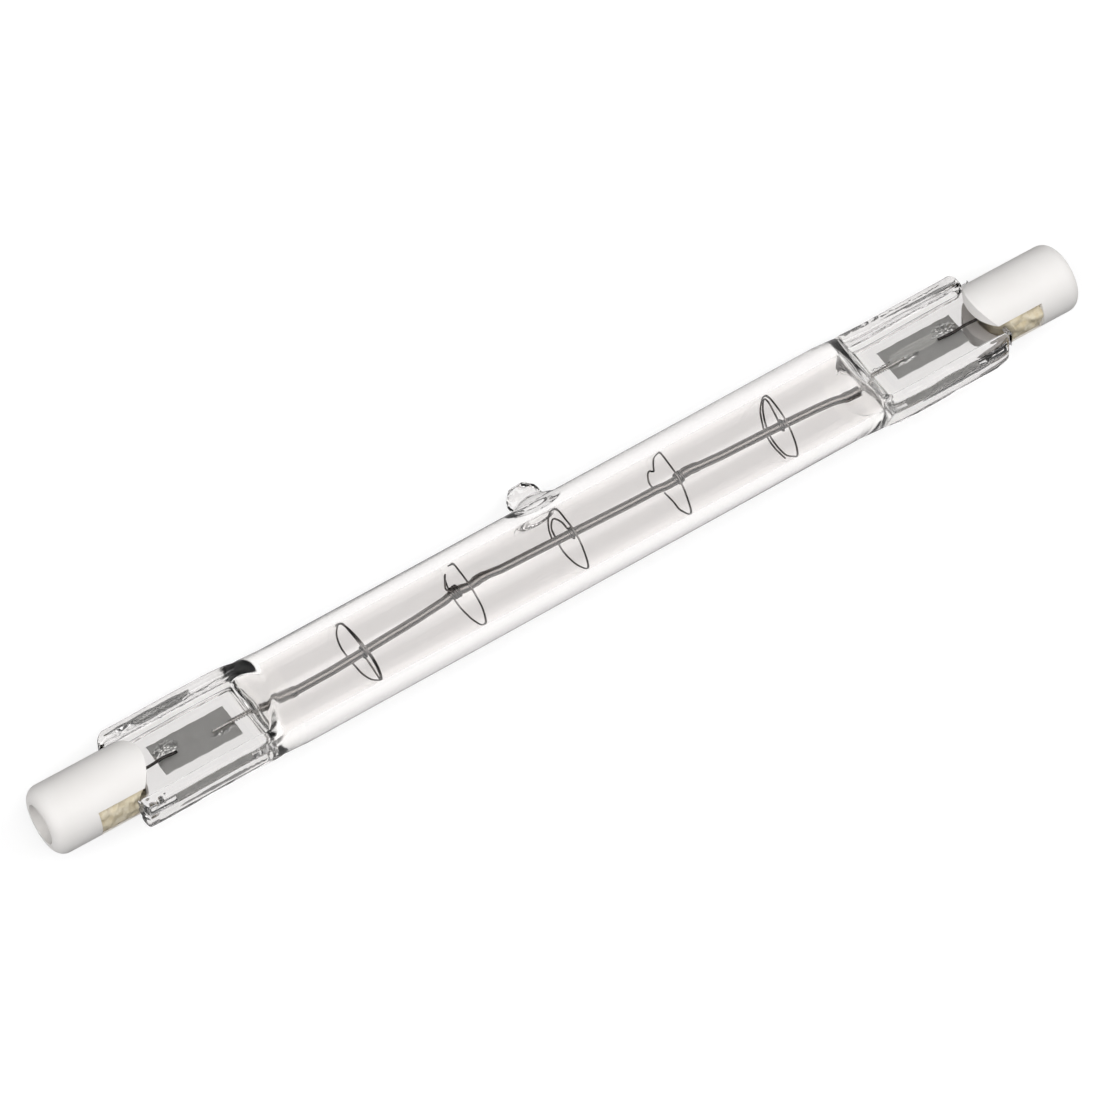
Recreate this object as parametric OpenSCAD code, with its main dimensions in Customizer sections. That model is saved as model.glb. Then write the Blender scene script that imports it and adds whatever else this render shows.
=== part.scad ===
// Double-ended linear quartz heat lamp, lying as it comes to rest: on the tube and on its exhaust tip.
// Origin on the lamp's axis midway between the two end faces, +X along the axis to the right end, +Z up.
// The flat pinch seals, the foils and the exhaust tip share one plane, which the resting lamp tilts.

/* [Lamp] */
// Length over the two ceramic caps
overall_len = 117.6; // [110:0.1:190]
// Gap at rest between parts that seat on each other
seat_gap = 0.05; // [0.03:0.01:0.08]

/* [Quartz tube] */
// Outside diameter of the tube
tube_od = 10; // [9.2:0.1:11]
// Wall thickness of the tube
tube_wall = 1.5; // [1.2:0.05:1.7]
// Length of the rounded press shoulder between tube and pinch
shoulder_len = 3; // [2.4:0.1:3.4]
// Length over which the end of the bore closes to its seam
bore_dome_len = 4.2; // [3:0.1:5]
// Distance from the foot of the press shoulder back to the seam that ends the bore
seam_back = 0.6; // [0.4:0.1:1.2]

/* [Exhaust tip] */
// Diameter of the melted tip
tip_d = 3.5; // [3:0.1:4]
// Height of the top of the tip above the lamp's axis
tip_height = 8.05; // [7.6:0.05:8.6]
// Diameter of the flare where the tip meets the tube
tip_flare_d = 4.9; // [4.4:0.1:5.2]
// Diameter of the pumping channel where it leaves the bore
tip_channel_d = 1.6; // [1:0.1:2]

/* [Pinch seals] */
// Length of each pinch from the foot of its shoulder to its outer end
pinch_len = 14; // [13:0.1:15]
// Thickness of the flat web that seals the foil
web_t = 2; // [1.7:0.05:2.2]
// Thickness of the edge ribs
rib_t = 3.8; // [3.2:0.1:4.2]
// Width of each edge rib
rib_w = 1.35; // [1.1:0.05:1.6]
// Radius of the ribs' long edges
rib_edge_r = 0.45; // [0.3:0.05:0.5]
// Radius of the pinch's outer corners in plan
pinch_corner_r = 1.3; // [0.8:0.1:1.8]

/* [Ceramic caps] */
// Diameter of the ceramic barrel
cap_d = 7.2; // [6.8:0.1:7.6]
// Length of each cap
cap_len = 11.2; // [10.5:0.1:12]
// Radius of the rounded outer rim
cap_rim_r = 1.3; // [1:0.05:1.35]
// Length of the slot from the cap's inner end
cap_slot_len = 6.5; // [6:0.1:7]
// How far the rounded ends of the cheeks reach past their corners
cheek_bow = 2.2; // [1.6:0.1:2.4]
// Diameter of the recess that takes the lamp holder's contact
recess_d = 4.2; // [3.8:0.1:4.4]
// Depth from the end face to the contact
contact_depth = 1.7; // [1.4:0.1:2]
// How far the pinch reaches into the cap's slot, measured from the cheeks' ends
pinch_grip = 2.4; // [2:0.1:3]

/* [Contacts and cement] */
// Diameter of the contact's head
contact_head_d = 3.4; // [3:0.1:3.6]
// Thickness of the contact's head
contact_head_t = 0.5; // [0.4:0.05:0.6]
// Diameter of the contact's stem
contact_stem_d = 1.2; // [1.1:0.05:1.6]
// How far the cement lies below the barrel's surface
cement_inset = 0.25; // [0.15:0.05:0.4]
// Diameter of the pit left in the cement
cement_pit_d = 0.9; // [0.6:0.1:1.1]

/* [Leads and foils] */
// Length of each foil
foil_len = 8.6; // [8:0.1:9.4]
// Width of each foil
foil_w = 3.8; // [3:0.1:4.4]
// Thickness of each foil
foil_t = 0.05; // [0.03:0.01:0.1]
// Distance from the pinch's outer end to the foil
foil_margin = 3.6; // [3:0.1:3.8]
// Diameter of the outer lead
outer_lead_d = 0.55; // [0.45:0.05:0.6]
// Length of the outer lead that lies on the foil
outer_weld_len = 2.7; // [2:0.1:3.2]
// Diameter over the inner lead's overwinding
inner_lead_d = 0.56; // [0.48:0.02:0.6]
// Length of the inner lead that lies on the foil
inner_weld_len = 2; // [1.5:0.1:2.5]
// Length of the inner lead that stands in the bore
inner_lead_reach = 1.8; // [1.2:0.1:2.4]
// Distance between two turns of the overwinding
overwind_pitch = 0.2; // [0.16:0.02:0.26]

/* [Filament] */
// Outside diameter of the filament's coil
filament_d = 0.9; // [0.7:0.05:1]
// Distance between two turns of the coil as drawn
filament_pitch = 0.24; // [0.2:0.02:0.4]
// Diameter of the filament where a support ring grips it
filament_knuckle_d = 1.05; // [0.9:0.05:1.15]
// Bare length of the inner lead between the bore's seam and the filament's end
lead_bare = 0.4; // [0.2:0.1:0.6]
// How far the filament runs off the axis towards the exhaust tip, at the most
filament_stray = 0.75; // [0:0.05:0.9]

/* [Support rings] */
// Diameter of the rings' wire
ring_wire_d = 0.22; // [0.16:0.02:0.26]
// Share of the filament's length that lies between the first ring and the last
ring_share = 0.69; // [0.62:0.01:0.72]
// Distance of the middle ring's grip from the lamp's middle
ring_mid_x = 1.05; // [0:0.05:1.2]
// Turns of each ring that touch the bore
ring_turns = 1.55; // [1.25:0.05:2.25]
// Distance along the axis between two turns of a ring
ring_pitch = 0.45; // [0.3:0.05:0.8]
// Turns of each ring round the filament
grip_turns = 1.75; // [1.25:0.25:2.75]

/* [Hidden] */

// Facets of a full circle
$fn = 96;
// Steps of the press shoulder's outline
press_steps = 28;
// Room that a cutter passes a face by
over = 0.2;

// Places along the axis, each measured from the lamp's middle
cap_end_x = overall_len / 2;
cheek_x = cap_end_x - cap_len;
slot_end_x = cheek_x + cap_slot_len;
pinch_end_x = cheek_x + pinch_grip;
foot_x = pinch_end_x - pinch_len;
shoulder_x = foot_x - shoulder_len;
contact_x = cap_end_x - contact_depth;
contact_seat_x = contact_x - contact_head_t;
foil_out_x = pinch_end_x - foil_margin;
foil_in_x = foil_out_x - foil_len;
outer_lead_in_x = foil_out_x - outer_weld_len;
inner_lead_out_x = foil_in_x + inner_weld_len;
seam_x = foot_x - seam_back;
inner_lead_in_x = seam_x - inner_lead_reach;

// Radii and half thicknesses
tube_r = tube_od / 2;
bore_r = tube_r - tube_wall;
tip_r = tip_d / 2;
tip_centre = tip_height - tip_r;
rib_in = cap_d / 2 + 2 * seat_gap;
rib_out = rib_in + rib_w;
slot_t = rib_t;
contact_hole_d = contact_stem_d + 2 * seat_gap;
lead_hole_d = outer_lead_d + 2 * seat_gap;
web_fillet_r = min((rib_t - web_t) / 3, cement_inset + seat_gap);
foil_z = -(inner_lead_d + foil_t) / 2;

// The lamp rolls until the exhaust tip touches what the tube lies on
rest_roll = asin((tube_r - tip_r) / tip_centre);

// Filament: places of its knuckles along the axis, and how far each strays towards the tip
filament_end_x = seam_x - lead_bare;
ring_count = 5;
ring_spacing = 2 * filament_end_x * ring_share / (ring_count - 1);
ring_xs = [for (i = [0:ring_count - 1]) ring_mid_x + (i - (ring_count - 1) / 2) * ring_spacing];
stray_shares = [0.05, 0.75, 0.7, 0.3, -0.05];
sleeve_x = inner_lead_in_x - filament_knuckle_d / 2;
knuckles = concat([[-sleeve_x, 0]],
                  [for (i = [0:ring_count - 1]) [ring_xs[i], filament_stray * stray_shares[i]]],
                  [[sleeve_x, 0]]);

// Ring form: the angle at which each grip starts, and the way that each ring is wound
ring_starts = [200, 20, 160, 60, 330];
ring_hands = [1, -1, -1, 1, -1];
ring_steps = 20;
wire_sides = 6;

function arc(cx, cy, r, from, to, steps) =
    [for (i = [0:steps]) let(a = from + (to - from) * i / steps) [cx + r * cos(a), cy + r * sin(a)]];

function mirror_points(points, sx, sy) =
    let(n = len(points)) [for (i = [0:n - 1]) let(p = points[sx * sy > 0 ? i : n - 1 - i]) [p[0] * sx, p[1] * sy]];

// Smooth step from 0 to 1
function ease(u) = (1 - cos(180 * u)) / 2;

module at_rest() {
    rotate([-rest_roll, 0, 0]) children();
}

module along_x() {
    rotate([0, 90, 0]) children();
}

module right_or_left(side) {
    if (side > 0) children();
    else mirror([1, 0, 0]) children();
}

// Half of the outline that the press gives the tube, seen from the side: full height, shoulder, web
function press_half() =
    concat([for (i = [0:press_steps]) let(u = i / press_steps)
               [shoulder_x + shoulder_len * u,
                tube_r + over - (tube_r + over - web_t / 2) * ease(u)]],
           [[foot_x + over, web_t / 2]]);

module pressed_tube() {
    half = press_half();
    top = concat(mirror_points(half, -1, 1), half);
    intersection() {
        along_x() cylinder(h = 2 * (foot_x + over), d = tube_od, center = true);
        rotate([90, 0, 0]) linear_extrude(height = tube_od + 2 * over, center = true)
            polygon(concat(top, mirror_points(top, 1, -1)));
    }
}

// One quarter of the pinch's H section, from the web's middle round to the rib's outer face
function h_quarter() =
    concat([[0, web_t / 2]],
           arc(rib_in - web_fillet_r, web_t / 2 + web_fillet_r, web_fillet_r, -90, 0, 4),
           arc(rib_in + rib_edge_r, rib_t / 2 - rib_edge_r, rib_edge_r, 180, 90, 4),
           arc(rib_out - rib_edge_r, rib_t / 2 - rib_edge_r, rib_edge_r, 90, 0, 4));

// Plan of one pinch: its root fades into the tube, and its outer corners are round
function pinch_plan_edge() =
    concat([for (i = [0:6]) [shoulder_x + shoulder_len * i / 6,
                             tube_r - tube_wall / 4 + (rib_out - tube_r + tube_wall / 4) * ease(i / 6)]],
           arc(pinch_end_x - pinch_corner_r, rib_out - pinch_corner_r, pinch_corner_r, 90, 0, 6));

module pinch() {
    quarter = h_quarter();
    upper = concat(mirror_points(quarter, -1, 1), quarter);
    edge = pinch_plan_edge();
    intersection() {
        translate([shoulder_x, 0, 0]) rotate([90, 0, 90])
            linear_extrude(height = pinch_end_x - shoulder_x)
                polygon(concat(upper, mirror_points(upper, 1, -1)));
        linear_extrude(height = rib_t + 2 * over, center = true)
            polygon(concat(edge, mirror_points(edge, 1, -1)));
    }
}

// Half of the bore's outline from the side: it closes to a seam that lies across the web
function bore_half() =
    let(start_x = seam_x - bore_dome_len, end_z = 0.06)
    [for (i = [0:12]) let(a = 90 * i / 12)
        [start_x + bore_dome_len * sin(a), max(end_z, (bore_r + over) * cos(a))]];

module bore_space() {
    half = bore_half();
    top = concat(mirror_points(half, -1, 1), half);
    intersection() {
        along_x() cylinder(h = 2 * (seam_x + over), r = bore_r, center = true);
        rotate([90, 0, 0]) linear_extrude(height = 2 * bore_r + 2 * over, center = true)
            polygon(concat(top, mirror_points(top, 1, -1)));
    }
}

// Melted exhaust tip: a flared stub closed by a dome
module exhaust_tip() {
    rotate([-90, 0, 0]) {
        rotate_extrude()
            polygon(concat([[0, bore_r + tube_wall / 3], [tip_flare_d / 2, bore_r + tube_wall / 3]],
                           [for (i = [0:8]) let(u = i / 8)
                               [tip_flare_d / 2 - (tip_flare_d - 0.97 * tip_d) / 2 * sin(90 * u),
                                tube_r - tube_wall / 2 + (tip_centre - tube_r + tube_wall / 2) * (1 - cos(90 * u))]],
                           [[0, tip_centre]]));
        translate([0, 0, tip_centre]) sphere(r = tip_r);
    }
}

module tip_channel() {
    rotate([-90, 0, 0]) translate([0, 0, bore_r - over])
        cylinder(h = tip_centre - bore_r + over, d1 = tip_channel_d, d2 = tip_channel_d / 4);
}

module quartz_envelope() {
    color("gainsboro", 0.4) at_rest() difference() {
        union() {
            pressed_tube();
            for (side = [-1, 1]) right_or_left(side) pinch();
            exhaust_tip();
        }
        bore_space();
        tip_channel();
        for (side = [-1, 1]) right_or_left(side) {
            foil_body();
            translate([seam_x - over, 0, 0]) along_x()
                cylinder(h = inner_lead_out_x - seam_x + over + seat_gap, d = inner_lead_d + 2 * seat_gap);
            translate([outer_lead_in_x - seat_gap, 0, 0]) along_x()
                cylinder(h = pinch_end_x - outer_lead_in_x + over + seat_gap, d = lead_hole_d);
        }
    }
}

// Foil that lies against both leads
module foil_body() {
    translate([foil_in_x, -foil_w / 2, foil_z - foil_t / 2]) cube([foil_len, foil_w, foil_t]);
}

module foil(side) {
    color("darkgray") at_rest() right_or_left(side) foil_body();
}

module outer_lead(side) {
    color("silver") right_or_left(side)
        translate([outer_lead_in_x, 0, 0]) along_x()
            cylinder(h = contact_seat_x - outer_lead_in_x, d = outer_lead_d);
}

// Inner lead: a core wire with a fine overwinding, drawn turn by turn
module inner_lead(side) {
    lead_len = inner_lead_out_x - inner_lead_in_x;
    turns = floor(lead_len / overwind_pitch);
    core_r = inner_lead_d / 2 - overwind_pitch / 2;
    color("dimgray") right_or_left(side)
        translate([inner_lead_in_x, 0, 0]) along_x() rotate_extrude($fn = 32)
            polygon(concat([[0, 0]],
                           [for (i = [0:turns - 1]) for (k = [0, 0.3, 0.7])
                               [k == 0 ? core_r : inner_lead_d / 2, (i + k) * overwind_pitch]],
                           [[core_r, turns * overwind_pitch], [core_r, lead_len], [0, lead_len]]));
}

// One straight span of the coil between two knuckles, its turns drawn as ridges
module coil_span(from, to) {
    step = to - from;
    span = norm(step);
    inset = filament_knuckle_d / 4;
    turns = floor((span - 2 * inset) / filament_pitch);
    pitch = (span - 2 * inset) / turns;
    root_r = filament_d / 2 - filament_pitch / 4;
    translate([from[0], from[1], 0]) rotate([0, 0, atan2(step[1], step[0])]) translate([inset, 0, 0])
        along_x() rotate_extrude($fn = 32)
            polygon(concat([[0, 0]],
                           [for (i = [0:turns - 1]) for (k = [0, 0.25, 0.75])
                               [k == 0 ? root_r : filament_d / 2, (i + k) * pitch]],
                           [[root_r, turns * pitch], [0, turns * pitch]]));
}

// Wider end of the filament, wound over the inner lead
module coil_end() {
    translate([sleeve_x - filament_knuckle_d / 2, 0, 0]) along_x() difference() {
        cylinder(h = filament_end_x - sleeve_x + filament_knuckle_d / 2, d = filament_knuckle_d, $fn = 48);
        translate([0, 0, inner_lead_in_x - seat_gap - sleeve_x + filament_knuckle_d / 2])
            cylinder(h = filament_end_x, d = inner_lead_d + 2 * seat_gap, $fn = 48);
    }
}

module filament() {
    last = len(knuckles) - 1;
    color("slategray") at_rest() union() {
        for (i = [0:last - 1]) coil_span(knuckles[i], knuckles[i + 1]);
        for (i = [1:last - 1]) translate([knuckles[i][0], knuckles[i][1], 0])
            sphere(d = filament_knuckle_d, $fn = 48);
        for (side = [-1, 1]) right_or_left(side) coil_end();
    }
}

// Route of a support ring's wire: close turns round the filament, an arm, then turns against the bore,
// all of them leading to the left
grip_r = filament_knuckle_d / 2 + ring_wire_d / 2 + seat_gap;
ring_r = bore_r - ring_wire_d / 2 - seat_gap;
arm_turn = 0.3;
grip_pitch = ring_wire_d + seat_gap / 2;

function ring_point(t, start, hand, stray) =
    let(grown = t <= grip_turns ? 0 : min(1, (t - grip_turns) / arm_turn),
        out = ease(grown),
        r = grip_r + (ring_r - grip_r) * out,
        a = start + hand * 360 * t,
        x = t <= grip_turns ? (t - grip_turns / 2) * grip_pitch
            : (grip_turns / 2) * grip_pitch + (t - grip_turns) * ring_pitch)
    [-x, r * cos(a) + stray * (1 - out), r * sin(a)];

function unit(v) = v / norm(v);

module support_ring(i) {
    total = grip_turns + arm_turn + ring_turns;
    count = ceil(total * ring_steps);
    stray = knuckles[i][1];
    path = [for (k = [0:count]) ring_point(total * k / count, ring_starts[i - 1], ring_hands[i - 1], stray)];
    points = [for (k = [0:count])
                 let(along = unit(path[min(k + 1, count)] - path[max(k - 1, 0)]),
                     side = unit(cross(along, [1, 0, 0])),
                     up = cross(side, along))
                 for (s = [0:wire_sides - 1])
                     let(a = 360 * s / wire_sides)
                     path[k] + ring_wire_d / 2 * (cos(a) * side + sin(a) * up)];
    faces = concat([[for (s = [0:wire_sides - 1]) s]],
                   [for (k = [0:count - 1]) for (s = [0:wire_sides - 1])
                       let(n = (s + 1) % wire_sides, a = k * wire_sides)
                       [a + s, a + wire_sides + s, a + wire_sides + n, a + n]],
                   [[for (s = [wire_sides - 1:-1:0]) count * wire_sides + s]]);
    color("gray") at_rest() translate([ring_xs[i - 1], 0, 0]) polyhedron(points, faces, convexity = 8);
}

// Room of the slot between the two cheeks of a cap
module cap_slot_room(from, to, width) {
    translate([from, -width / 2, -slot_t / 2]) cube([to - from, width, slot_t]);
}

// Room behind the bow that ends the cheeks, and the cement between them
module bowed_room(from) {
    half_chord = cap_d / 2;
    bow_r = (half_chord * half_chord + cheek_bow * cheek_bow) / (2 * cheek_bow);
    translate([from + bow_r, 0, 0]) cylinder(h = cap_d + 2 * over, r = bow_r, center = true);
    translate([from + cheek_bow, -cap_d / 2 - over, -cap_d / 2 - over])
        cube([cap_len, cap_d + 2 * over, cap_d + 2 * over]);
}

module cap(side) {
    flat_r = cap_d / 2 - cap_rim_r;
    color("snow") at_rest() right_or_left(side) difference() {
        intersection() {
            translate([cheek_x, 0, 0]) along_x() rotate_extrude()
                polygon(concat([[0, 0], [cap_d / 2, 0]],
                               arc(flat_r, cap_len - cap_rim_r, cap_rim_r, 0, 90, 10),
                               [[0, cap_len]]));
            bowed_room(cheek_x);
        }
        cap_slot_room(cheek_x - over, slot_end_x, cap_d + 2 * over);
        translate([contact_x, 0, 0]) along_x() cylinder(h = contact_depth + over, d = recess_d);
        translate([contact_seat_x, 0, 0]) along_x()
            cylinder(h = contact_head_t + over, d = contact_head_d + 2 * seat_gap);
        translate([slot_end_x - over, 0, 0]) along_x()
            cylinder(h = contact_seat_x - slot_end_x + 2 * over, d = contact_hole_d);
    }
}

// Cement between the pinch and the cheeks, bedded round the pinch's end
module cement(side) {
    bead_x = cheek_x + cement_inset;
    color("wheat") at_rest() right_or_left(side) difference() {
        intersection() {
            cap_slot_room(bead_x, slot_end_x, cap_d);
            translate([bead_x - over, 0, 0]) along_x()
                cylinder(h = slot_end_x - bead_x + 2 * over, d = cap_d - 2 * cement_inset);
            bowed_room(bead_x);
        }
        translate([bead_x - over, -cap_d / 2, -web_t / 2]) cube([pinch_end_x - bead_x + over, cap_d, web_t]);
        translate([bead_x - over, 0, 0]) along_x()
            cylinder(h = slot_end_x - bead_x + 2 * over, d = lead_hole_d);
        translate([slot_end_x - cement_pit_d, -cap_d / 2, slot_t / 2 - cement_pit_d / 3]) rotate([-90, 0, 0])
            cylinder(h = cap_d / 5, d = cement_pit_d);
    }
}

// Contact button let into the bottom of the recess, with a stem that takes the lead
module contact(side) {
    color("lightgray") right_or_left(side) difference() {
        union() {
            translate([contact_seat_x, 0, 0]) along_x() cylinder(h = contact_head_t, d = contact_head_d);
            translate([slot_end_x, 0, 0]) along_x()
                cylinder(h = contact_seat_x - slot_end_x + over, d = contact_stem_d);
        }
        translate([slot_end_x - over, 0, 0]) along_x()
            cylinder(h = contact_seat_x - slot_end_x + over, d = lead_hole_d);
    }
}

quartz_envelope();
foil(-1);  // foil_left
foil(1);  // foil_right
outer_lead(-1);  // outer_lead_left
outer_lead(1);  // outer_lead_right
inner_lead(-1);  // inner_lead_left
inner_lead(1);  // inner_lead_right
filament();
support_ring(1);  // support_ring_1
support_ring(2);  // support_ring_2
support_ring(3);  // support_ring_3
support_ring(4);  // support_ring_4
support_ring(5);  // support_ring_5
cap(-1);  // cap_left
cap(1);  // cap_right
cement(-1);  // cement_left
cement(1);  // cement_right
contact(-1);  // contact_left
contact(1);  // contact_right
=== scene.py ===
"""Looks of a clear quartz heat lamp that lies on a white studio floor, seen from above."""
import math

import bpy
import numpy as np
from mathutils import Matrix, Vector, noise

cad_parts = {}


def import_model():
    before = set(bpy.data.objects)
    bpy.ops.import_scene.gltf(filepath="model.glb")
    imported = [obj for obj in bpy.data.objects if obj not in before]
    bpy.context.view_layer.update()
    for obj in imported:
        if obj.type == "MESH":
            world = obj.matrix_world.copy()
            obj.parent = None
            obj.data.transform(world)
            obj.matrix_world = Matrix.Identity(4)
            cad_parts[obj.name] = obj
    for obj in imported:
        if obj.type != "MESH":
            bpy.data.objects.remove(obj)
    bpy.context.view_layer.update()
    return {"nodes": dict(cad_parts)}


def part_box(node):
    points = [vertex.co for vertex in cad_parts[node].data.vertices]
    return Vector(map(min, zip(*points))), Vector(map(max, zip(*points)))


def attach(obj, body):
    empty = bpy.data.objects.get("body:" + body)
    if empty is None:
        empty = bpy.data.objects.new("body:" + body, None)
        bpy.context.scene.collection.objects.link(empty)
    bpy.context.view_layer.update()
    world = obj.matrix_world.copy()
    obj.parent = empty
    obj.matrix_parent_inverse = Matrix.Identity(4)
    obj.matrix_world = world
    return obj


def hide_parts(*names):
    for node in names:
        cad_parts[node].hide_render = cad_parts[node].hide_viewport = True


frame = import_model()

nodes = frame["nodes"]
MM = 0.001

# Sizes in millimetres, as the solids have them
cap_end_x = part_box("cap_right")[1].x / MM
cheek_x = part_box("cap_right")[0].x / MM
pinch_end_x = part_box("quartz_envelope")[1].x / MM
tube_r = -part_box("quartz_envelope")[0].z / MM
tube_wall = 1.5
bore_r = tube_r - tube_wall
foot_x = pinch_end_x - 14
shoulder_len = 3
shoulder_x = foot_x - shoulder_len
seam_x = foot_x - 0.6
bore_dome_len = 4.2
web_t = 2
rib_t = 3.8
rib_w = 1.35
cap_r = 3.6
rib_in = cap_r + 0.1
rib_out = rib_in + rib_w
slot_end_x = cheek_x + 6.5
cheek_bow = 2.2
tip_r = 1.75
tip_height = 8.05
tip_centre = tip_height - tip_r
rest_roll = math.asin((tube_r - tip_r) / tip_centre)
filament_r = 0.45
lead_r = 0.28
foil_in_x = pinch_end_x - 12.2
foil_out_x = pinch_end_x - 3.6
foil_w = 3.8
foil_z = -(2 * lead_r + 0.05) / 2


# Shared helpers

def linear(code):
    """An sRGB hex colour as the linear colour that a socket takes."""
    parts = [int(code[i:i + 2], 16) / 255 for i in (1, 3, 5)]
    return [p / 12.92 if p <= 0.04045 else ((p + 0.055) / 1.055) ** 2.4 for p in parts] + [1]


def put(tree, kind, inputs=None, **settings):
    """Adds one node with its settings. An input takes a value or another node's output."""
    made = tree.nodes.new(kind)
    for name, value in settings.items():
        setattr(made, name, value)
    for name, value in (inputs or {}).items():
        if isinstance(value, bpy.types.NodeSocket):
            tree.links.new(value, made.inputs[name])
        else:
            made.inputs[name].default_value = value
    return made


def finish_of(name, **sockets):
    """A new material with its Principled shader, whose plain sockets are set directly."""
    made = bpy.data.materials.new(name)
    made.use_nodes = True
    shader = made.node_tree.nodes["Principled BSDF"]
    for socket, value in sockets.items():
        shader.inputs[socket.replace("_", " ")].default_value = value
    return made, made.node_tree, shader


def lying(points):
    """Points of the upright lamp, in millimetres, rolled to where it lies, in metres."""
    points = np.asarray(points, float)
    c, s = math.cos(rest_roll), math.sin(rest_roll)
    x, y, z = points[..., 0], points[..., 1], points[..., 2]
    return np.stack([x, y * c + z * s, z * c - y * s], -1) * MM


def piece(name, points, faces, finish, replaced, face_finishes=None, upright=True):
    """A smooth mesh that rides on the lamp's one body, with its points in millimetres.

    They are those of the upright lamp, which is rolled here, or of the lamp as it lies."""
    points = lying(points) if upright else np.asarray(points, float) * MM
    mesh = bpy.data.meshes.new(name)
    mesh.from_pydata([tuple(p) for p in points], [], [tuple(f) for f in faces])
    for f in finish if isinstance(finish, (list, tuple)) else [finish]:
        mesh.materials.append(f)
    if face_finishes is not None:
        mesh.polygons.foreach_set("material_index", face_finishes)
    mesh.polygons.foreach_set("use_smooth", [True] * len(mesh.polygons))
    mesh.validate()
    mesh.update()
    made = bpy.data.objects.new(name, mesh)
    bpy.context.scene.collection.objects.link(made)
    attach(made, "root")
    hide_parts(*replaced)
    return made


def skin(rows, first=0):
    """Faces over equal rings of points, one row after another, with both ends closed."""
    n, m = len(rows), len(rows[0])
    faces = []
    for i in range(n - 1):
        for j in range(m):
            k = (j + 1) % m
            faces.append((first + i * m + j, first + i * m + k, first + (i + 1) * m + k, first + (i + 1) * m + j))
    faces.append([first + j for j in range(m)][::-1])
    faces.append([first + (n - 1) * m + j for j in range(m)])
    return faces


def tube_along(path, radius, sides):
    """Points and faces of a wire along a path."""
    path = np.asarray(path, float)
    along = np.gradient(path, axis=0)
    along /= np.maximum(np.linalg.norm(along, axis=1), 1e-9)[:, None]
    side = np.cross(along[0], [1, 0, 0] if abs(along[0][0]) < 0.8 else [0, 0, 1])
    rows = []
    for p, a in zip(path, along):
        side = side - a * np.dot(side, a)
        side /= np.linalg.norm(side)
        up = np.cross(a, side)
        turns = np.arange(sides) * 2 * math.pi / sides
        rows.append(p + radius * (np.cos(turns)[:, None] * side + np.sin(turns)[:, None] * up))
    return np.concatenate(rows), skin(rows)


def ease(u):
    """A share from 0 to 1 that starts and ends softly."""
    return (1 - np.cos(np.pi * np.clip(u, 0, 1))) / 2


def soft_min(a, b, width):
    """The smaller of two heights, blended over a width where they are close."""
    near = np.clip(width - np.abs(a - b), 0, None)
    return np.minimum(a, b) - near * near / (4 * width)


# Materials

def fused_quartz(name, tint, haze):
    """Fused quartz, drawn as tube and fire polished: very clear, with faint draw lines along the tube."""
    made, tree, shader = finish_of(name, Transmission_Weight=1.0, IOR=1.458, Roughness=haze)
    shader.inputs["Base Color"].default_value = linear(tint)
    place = put(tree, "ShaderNodeTexCoord").outputs["Object"]
    # draw lines 1.2 mm apart round the tube and 25 mm long
    stretched = put(tree, "ShaderNodeMapping", {"Vector": place, "Scale": (40, 800, 800)})
    lines = put(tree, "ShaderNodeTexNoise", {"Vector": stretched.outputs[0], "Scale": 1.0, "Detail": 1.0})
    bump = put(tree, "ShaderNodeBump", {"Height": lines.outputs[0], "Distance": 0.00002, "Strength": 0.25})
    tree.links.new(bump.outputs[0], shader.inputs["Normal"])
    return made


def steatite():
    """Steatite ceramic, dry pressed and fired unglazed: warm white, matt, with a fine grain."""
    made, tree, shader = finish_of("steatite_fired", Roughness=0.55)
    place = put(tree, "ShaderNodeTexCoord").outputs["Object"]
    cloud = put(tree, "ShaderNodeTexNoise", {"Vector": place, "Scale": 260.0, "Detail": 3.0})
    tone = put(tree, "ShaderNodeMix", {"Factor": cloud.outputs[0]}, data_type="RGBA")
    tone.inputs["A"].default_value = linear("#ECEAE8")
    tone.inputs["B"].default_value = linear("#E2DFDC")
    tree.links.new(tone.outputs["Result"], shader.inputs["Base Color"])
    # pressed powder grain about 0.12 mm
    grain = put(tree, "ShaderNodeTexNoise", {"Vector": place, "Scale": 8000.0, "Detail": 2.0})
    bump = put(tree, "ShaderNodeBump", {"Height": grain.outputs[0], "Distance": 0.00001, "Strength": 0.35})
    tree.links.new(bump.outputs[0], shader.inputs["Normal"])
    return made


def cap_cement():
    """Silicate cement, smeared in by hand: beige, matt, lumpy."""
    made, tree, shader = finish_of("silicate_cement", Roughness=0.85)
    place = put(tree, "ShaderNodeTexCoord").outputs["Object"]
    cloud = put(tree, "ShaderNodeTexNoise", {"Vector": place, "Scale": 1400.0, "Detail": 4.0})
    tone = put(tree, "ShaderNodeMix", {"Factor": cloud.outputs[0]}, data_type="RGBA")
    tone.inputs["A"].default_value = linear("#BCA97C")
    tone.inputs["B"].default_value = linear("#F2ECDC")
    tree.links.new(tone.outputs["Result"], shader.inputs["Base Color"])
    bump = put(tree, "ShaderNodeBump", {"Height": cloud.outputs[0], "Distance": 0.0002, "Strength": 0.6})
    tree.links.new(bump.outputs[0], shader.inputs["Normal"])
    return made


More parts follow.
